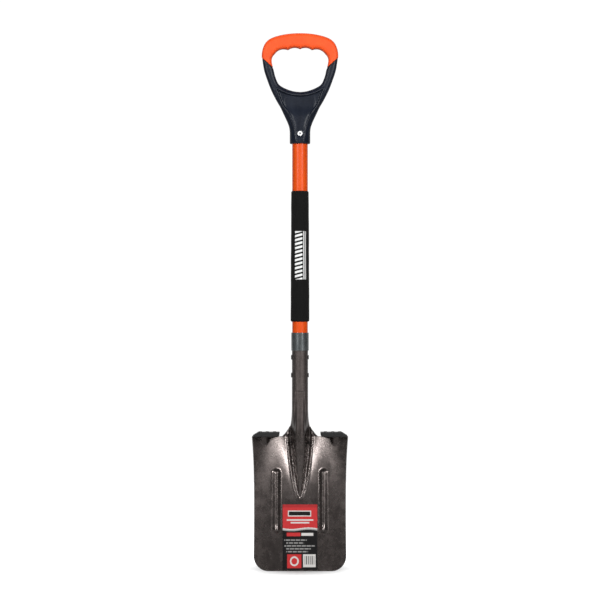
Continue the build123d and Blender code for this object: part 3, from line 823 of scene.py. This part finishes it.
BAR_HALF_Y, LEG_HALF_Y, BAR_EDGE_R = 14.0, 12.2, 8.2
LEG_TOP, LEG_TAPER = 1020.0, 90.0
COLLAR_R, CONE_TOP_R, MOUTH_R = 21.1, 9.0, 1.5
CONE_LOW, CONE_TAPER, CONE_TOP = 935.0, 55.0, 968.0
WEB_SPREAD, WEB_SPREAD_LOW, WEB_SPREAD_RISE = 18.0, 905.0, 60.0
FACET_Y, FACET_Z = (19.4, 9.0), (927.0, 966.0)
FILLET, FILLET_MORE = 4.0, 4.0                 # between the collar and the legs; more of it higher up
FILLET_LOW, FILLET_RISE = 915.0, 25.0

FACE_FROM_Y = 3.0                              # reliefs are cut only this far from the middle plane
RECESS_DEPTH, RECESS_EDGE, RECESS_LOW, RECESS_RISE = 3.0, 2.2, 900.0, 50.0
RIB_LINE_MIDDLE, RIB_LINE_HALF, RIB_LINE_SLOPE = 1.1, 0.6, 1.4
RIB_LINE_HEIGHT, RIB_LINE_LOW, RIB_LINE_RISE = 1.6, 874.0, 8.0
RIVET_Z = (GRIP_RIVET_LOW[2] + GRIP_RIVET_HIGH[2]) / 2
RIVET_HOLE_R = 2.5
PAD_R, PAD_Y = 6.4, 20.45

COVER_INNER, COVER_OUTER = (55.0, 1029.0), (78.0, 1049.3)
COVER_PROUD, COVER_THICK = 0.35, 3.0
PARTING, CORE_GAP, CORE_SHELL = 0.35, 0.02, 0.3


def cover_side(x, z):
    """Distance above the sloped line where the soft cover starts."""
    dx, dz = COVER_OUTER[0] - COVER_INNER[0], COVER_OUTER[1] - COVER_INNER[1]
    length = np.hypot(dx, dz)
    return ((z - COVER_INNER[1]) * dx - (np.abs(x) - COVER_INNER[0]) * dz) / length


def block_distance(outline, x, y, z):
    """Front-view distance to an outline at every sample of a block."""
    return outline_distance(outline, x[:, 0, :], z[:, 0, :])[:, None, :] + 0 * y


def opening_field(x, y, z):
    """Front-view distance to the hand opening, with its finger scallops."""
    opening = block_distance(OPENING_OUTLINE, x, y, z)
    for centre, top in FINGERS:
        opening = np.minimum(opening, np.hypot(np.abs(x) - centre, z - top + FINGER_R) - FINGER_R)
    return opening


def collar_field(x, y, z):
    """Round collar that widens and flattens into the web, with flat facets front and back."""
    radius = COLLAR_R - (COLLAR_R - CONE_TOP_R) * smooth((z - CONE_LOW) / CONE_TAPER)
    beside = np.maximum(np.abs(x) - WEB_SPREAD * smooth((z - WEB_SPREAD_LOW) / WEB_SPREAD_RISE), 0)
    cone = np.maximum.reduce([np.hypot(beside, y) - radius, z - CONE_TOP, GRIP_BOTTOM - z])
    aside = np.maximum(np.hypot(x, y) - (radius - MOUTH_R), 0)
    mouth = np.hypot(aside, np.maximum(GRIP_BOTTOM + MOUTH_R - z, 0)) - MOUTH_R
    cone = np.where(z < GRIP_BOTTOM + MOUTH_R, np.maximum(cone, mouth), cone)
    climb = smooth((z - FACET_Z[0]) / (FACET_Z[1] - FACET_Z[0]))
    return soft_max(cone, np.abs(y) - FACET_Y[0] + (FACET_Y[0] - FACET_Y[1]) * climb, 1.2)


def web_relief(x, y, z):
    """Depth of the web's sunk face, less the height of the thin rib round it."""
    web = block_distance(WEB_OUTLINE, x, y, z)
    sunk = RECESS_DEPTH * smooth(-web / RECESS_EDGE) * smooth((z - RECESS_LOW) / RECESS_RISE)
    from_line = np.maximum(np.abs(web - RIB_LINE_MIDDLE) - RIB_LINE_HALF, 0)
    raised = RIB_LINE_HEIGHT * smooth(1 - from_line / RIB_LINE_SLOPE)
    raised = raised * smooth((z - RIB_LINE_LOW) / RIB_LINE_RISE)
    return (sunk - raised) * (np.abs(y) > FACE_FROM_Y)


def grip_field(x, y, z):
    """The whole D: bar, legs, web and collar, with the rivet's seat and the bores."""
    opening = opening_field(x, y, z)
    half_y = BAR_HALF_Y - (BAR_HALF_Y - LEG_HALF_Y) * smooth((LEG_TOP - z) / LEG_TAPER)
    ring = soft_max(block_distance(GRIP_OUTLINE, x, y, z), -opening, 0.5)
    ring = rounded_extrusion(ring, y, half_y, BAR_EDGE_R)
    fillet = FILLET + FILLET_MORE * smooth((z - FILLET_LOW) / FILLET_RISE)
    body = np.maximum(soft_min(ring, collar_field(x, y, z), fillet), GRIP_BOTTOM - z)
    body = soft_max(body, -opening - 0.2, 1.2) + web_relief(x, y, z)
    from_rivet = np.hypot(x, z - RIVET_Z)
    pad = np.maximum(from_rivet - PAD_R, np.abs(y) - PAD_Y)
    spot_face = np.maximum(from_rivet - PAD_R, PAD_Y - np.abs(y))
    body = soft_max(soft_min(body, pad, 0.8), -spot_face, 0.4)
    bore = np.maximum(np.hypot(x, y) - SHAFT_HIGH[0] - 0.1, z - (SHAFT_HIGH[2] + 0.2))
    return np.maximum.reduce([body, -bore, RIVET_HOLE_R - from_rivet])


def part_cover(body, side):
    """Fields of the hard frame and of the soft cover moulded round its bar."""
    core = np.maximum(body + COVER_THICK, PARTING - side)
    cover = soft_max(body - COVER_PROUD, PARTING - side, 0.9)
    cover = np.maximum(cover, -(core + CORE_GAP))
    hard = soft_max(body, side + PARTING, 0.9)
    return np.minimum(hard, core + CORE_SHELL), cover


def build_grip(hard_material, cover_material):
    """The hard frame and its soft cover, meshed from one set of samples."""
    step = 0.8
    reach_x, reach_y = GRIP_HALF_X + GRIP_MARGIN, GRIP_HALF_Y + GRIP_MARGIN
    xs = np.arange(-reach_x, reach_x, step)
    ys = np.arange(-reach_y, reach_y, step)
    zs = np.arange(GRIP_BOTTOM - GRIP_MARGIN, GRIP_TOP + GRIP_MARGIN, step)
    x, y, z = np.meshgrid(xs, ys, zs, indexing="ij")
    hard, cover = part_cover(grip_field(x, y, z), cover_side(x, z))
    for name, field, material, slot, node in (
            ("grip_yoke", hard, hard_material, "black_plastic", "grip_frame"),
            ("grip_cover", cover, cover_material, "orange_rubber", "grip_overmould")):
        points, faces = surface_nets(field, (xs[0], ys[0], zs[0]), step)
        relax(make_object(name, points, faces, material, slot, node), 8)


# ---------------------------------------------------------------- stage
VIEW_HEIGHT, VIEW_DISTANCE = 0.553, 4.624
LENS, SENSOR = 135, 36
FLOOR_R, FLOOR_GAP, FLOOR_GREY = 2.2, 0.3, 0.4
FLOOR_GLOW = (0.14, 1.1)       # under the blade, kept low as a painted shadow, and where the floor melts into the surround
SHADOW_NEAR, SHADOW_FAR = 0.04, 0.15
SURROUND = (0.07, 0.8)         # dim in front of the blade, bright behind it
SURROUND_FROM, SURROUND_TO = 0.3, 0.8
BACKDROP = 1.05
# Name, azimuth (0 is in front of the blade), elevation, distance, width, height, watts, seen in gloss.
LIGHTS = (("right_strip", 33, 17, 3.0, 0.3, 0.8, 44, True),
          ("left_strip", -34, 17, 3.0, 0.3, 0.8, 38, True),
          ("front_glow", 0, 14, 3.0, 1.6, 1.0, 1.6, True),
          ("rim_light", 180, 60, 3.0, 2.0, 1.0, 14, True),
          ("broad_fill", 0, 25, 3.0, 2.0, 2.0, 56, False))


def soft_light(name, azimuth, elevation, distance, width, height, power, in_gloss):
    """Area light aimed at the middle of the spade."""
    data = bpy.data.lights.new(name, "AREA")
    data.shape = "RECTANGLE"
    data.size, data.size_y = width, height
    data.energy = power
    light = bpy.data.objects.new(name, data)
    bpy.context.scene.collection.objects.link(light)
    a, e = radians(azimuth), radians(elevation)
    aim = distance * Vector((-sin(a) * cos(e), cos(a) * cos(e), -sin(e)))
    light.location = Vector((0, AXIS, VIEW_HEIGHT)) - aim
    light.rotation_euler = aim.to_track_quat("-Z", "Y").to_euler()
    light.visible_glossy = in_gloss


def seen_by_camera(nodes, links, plain, lifted, output):
    """Camera rays see the lifted shader, everything else the plain one."""
    mix = nodes.new("ShaderNodeMixShader")
    path = nodes.new("ShaderNodeLightPath")
    links.new(path.outputs["Is Camera Ray"], mix.inputs[0])
    links.new(plain, mix.inputs[1])
    links.new(lifted, mix.inputs[2])
    links.new(mix.outputs[0], output)


def build_floor():
    """Pale floor with a soft shadow under the blade, partly cast and partly painted where its glow is weaker,
    melting into a white surround.
    """
    bpy.ops.mesh.primitive_circle_add(vertices=96, radius=FLOOR_R, fill_type="NGON",
                                      location=(0, AXIS, (BLADE_LOW[2] - FLOOR_GAP) * MM))
    floor = bpy.context.object
    floor.name = "floor"
    paper = Paint("floor", (FLOOR_GREY,) * 3, 0.9)
    paper.bump(paper.noise(300), 0.05, 0.2)
    add = paper.nodes.new("ShaderNodeAddShader")
    glow = paper.nodes.new("ShaderNodeEmission")
    away = paper.nodes.new("ShaderNodeVectorMath")
    away.operation = "LENGTH"
    paper.connect(paper.nodes.new("ShaderNodeTexCoord").outputs["Object"], away.inputs[0])
    # glow seen by the camera, weaker near the middle: a painted shadow under the blade
    strength = paper.remap(away.outputs["Value"], SHADOW_NEAR, SHADOW_FAR, *FLOOR_GLOW)
    paper.connect(strength, glow.inputs["Strength"])
    paper.connect(paper.bsdf.outputs[0], add.inputs[0])
    paper.connect(glow.outputs[0], add.inputs[1])
    output = paper.nodes["Material Output"].inputs["Surface"]
    seen_by_camera(paper.nodes, paper.links, paper.bsdf.outputs[0], add.outputs[0], output)
    floor.data.materials.append(paper.material)


def build_world():
    """Surround that lights the spade mostly from behind; the camera sees plain white."""
    world = bpy.data.worlds.new("studio")
    world.use_nodes = True
    nodes, links = world.node_tree.nodes, world.node_tree.links
    dim = nodes["Background"]
    dim.inputs["Color"].default_value = (1, 1, 1, 1)
    place = nodes.new("ShaderNodeTexCoord")
    split = nodes.new("ShaderNodeSeparateXYZ")
    links.new(place.outputs["Generated"], split.inputs[0])
    rear = map_range(nodes, links, split.outputs["Y"], SURROUND_FROM, SURROUND_TO, *SURROUND)
    links.new(rear, dim.inputs["Strength"])
    white = nodes.new("ShaderNodeBackground")
    white.inputs["Color"].default_value = (1, 1, 1, 1)
    white.inputs["Strength"].default_value = BACKDROP
    seen_by_camera(nodes, links, dim.outputs[0], white.outputs[0], nodes["World Output"].inputs["Surface"])
    bpy.context.scene.world = world


def build_stage():
    """Floor, white surround, softboxes and the camera."""
    scene = bpy.context.scene
    build_floor()
    build_world()
    for light in LIGHTS:
        soft_light(*light)
    lens = bpy.data.cameras.new("camera")
    lens.lens = LENS
    lens.sensor_width = SENSOR
    camera = bpy.data.objects.new("camera", lens)
    scene.collection.objects.link(camera)
    camera.location = (0, AXIS - VIEW_DISTANCE, VIEW_HEIGHT)
    camera.rotation_euler = (pi / 2, 0, 0)
    scene.camera = camera
    scene.view_settings.view_transform = "Standard"


# ---------------------------------------------------------------- assembly
def finish_node(node, material):
    """Keeps a CAD node and gives it its finish."""
    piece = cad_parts[node]
    piece.data.materials.clear()
    piece.data.materials.append(material)


def main():
    """All pieces, then the stage."""
    plastic = black_plastic()
    rubber = tread_rubber()
    bright = rivet_steel("bright_steel", (0.9, 0.9, 0.89), 0.35, 0.5)
    stud = rivet_steel("stud_steel", (0.16, 0.155, 0.15), 0.3, 0.95)
    core = core_plastic()
    dark = rivet_steel("dark_steel", (0.05, 0.048, 0.045), 0.5, 0.9)
    build_blade(blade_steel())
    build_label(label_film())
    for side in (-1, 1):
        build_tread(side, rubber)
    build_foam(black_foam())
    build_grip(plastic, orange_rubber())
    finish_node("ferrule_collar", zinc_steel())
    finish_node("shaft", orange_fibreglass())
    for node in ("left_tread_rivets", "right_tread_rivets", "socket_rivets"):
        finish_node(node, stud)
    finish_node("grip_rivet", bright)
    finish_node("grip_rivet_mandrel", dark)
    for node in ("lower_core_plug", "upper_core_plug"):
        finish_node(node, core)
    build_stage()


main()
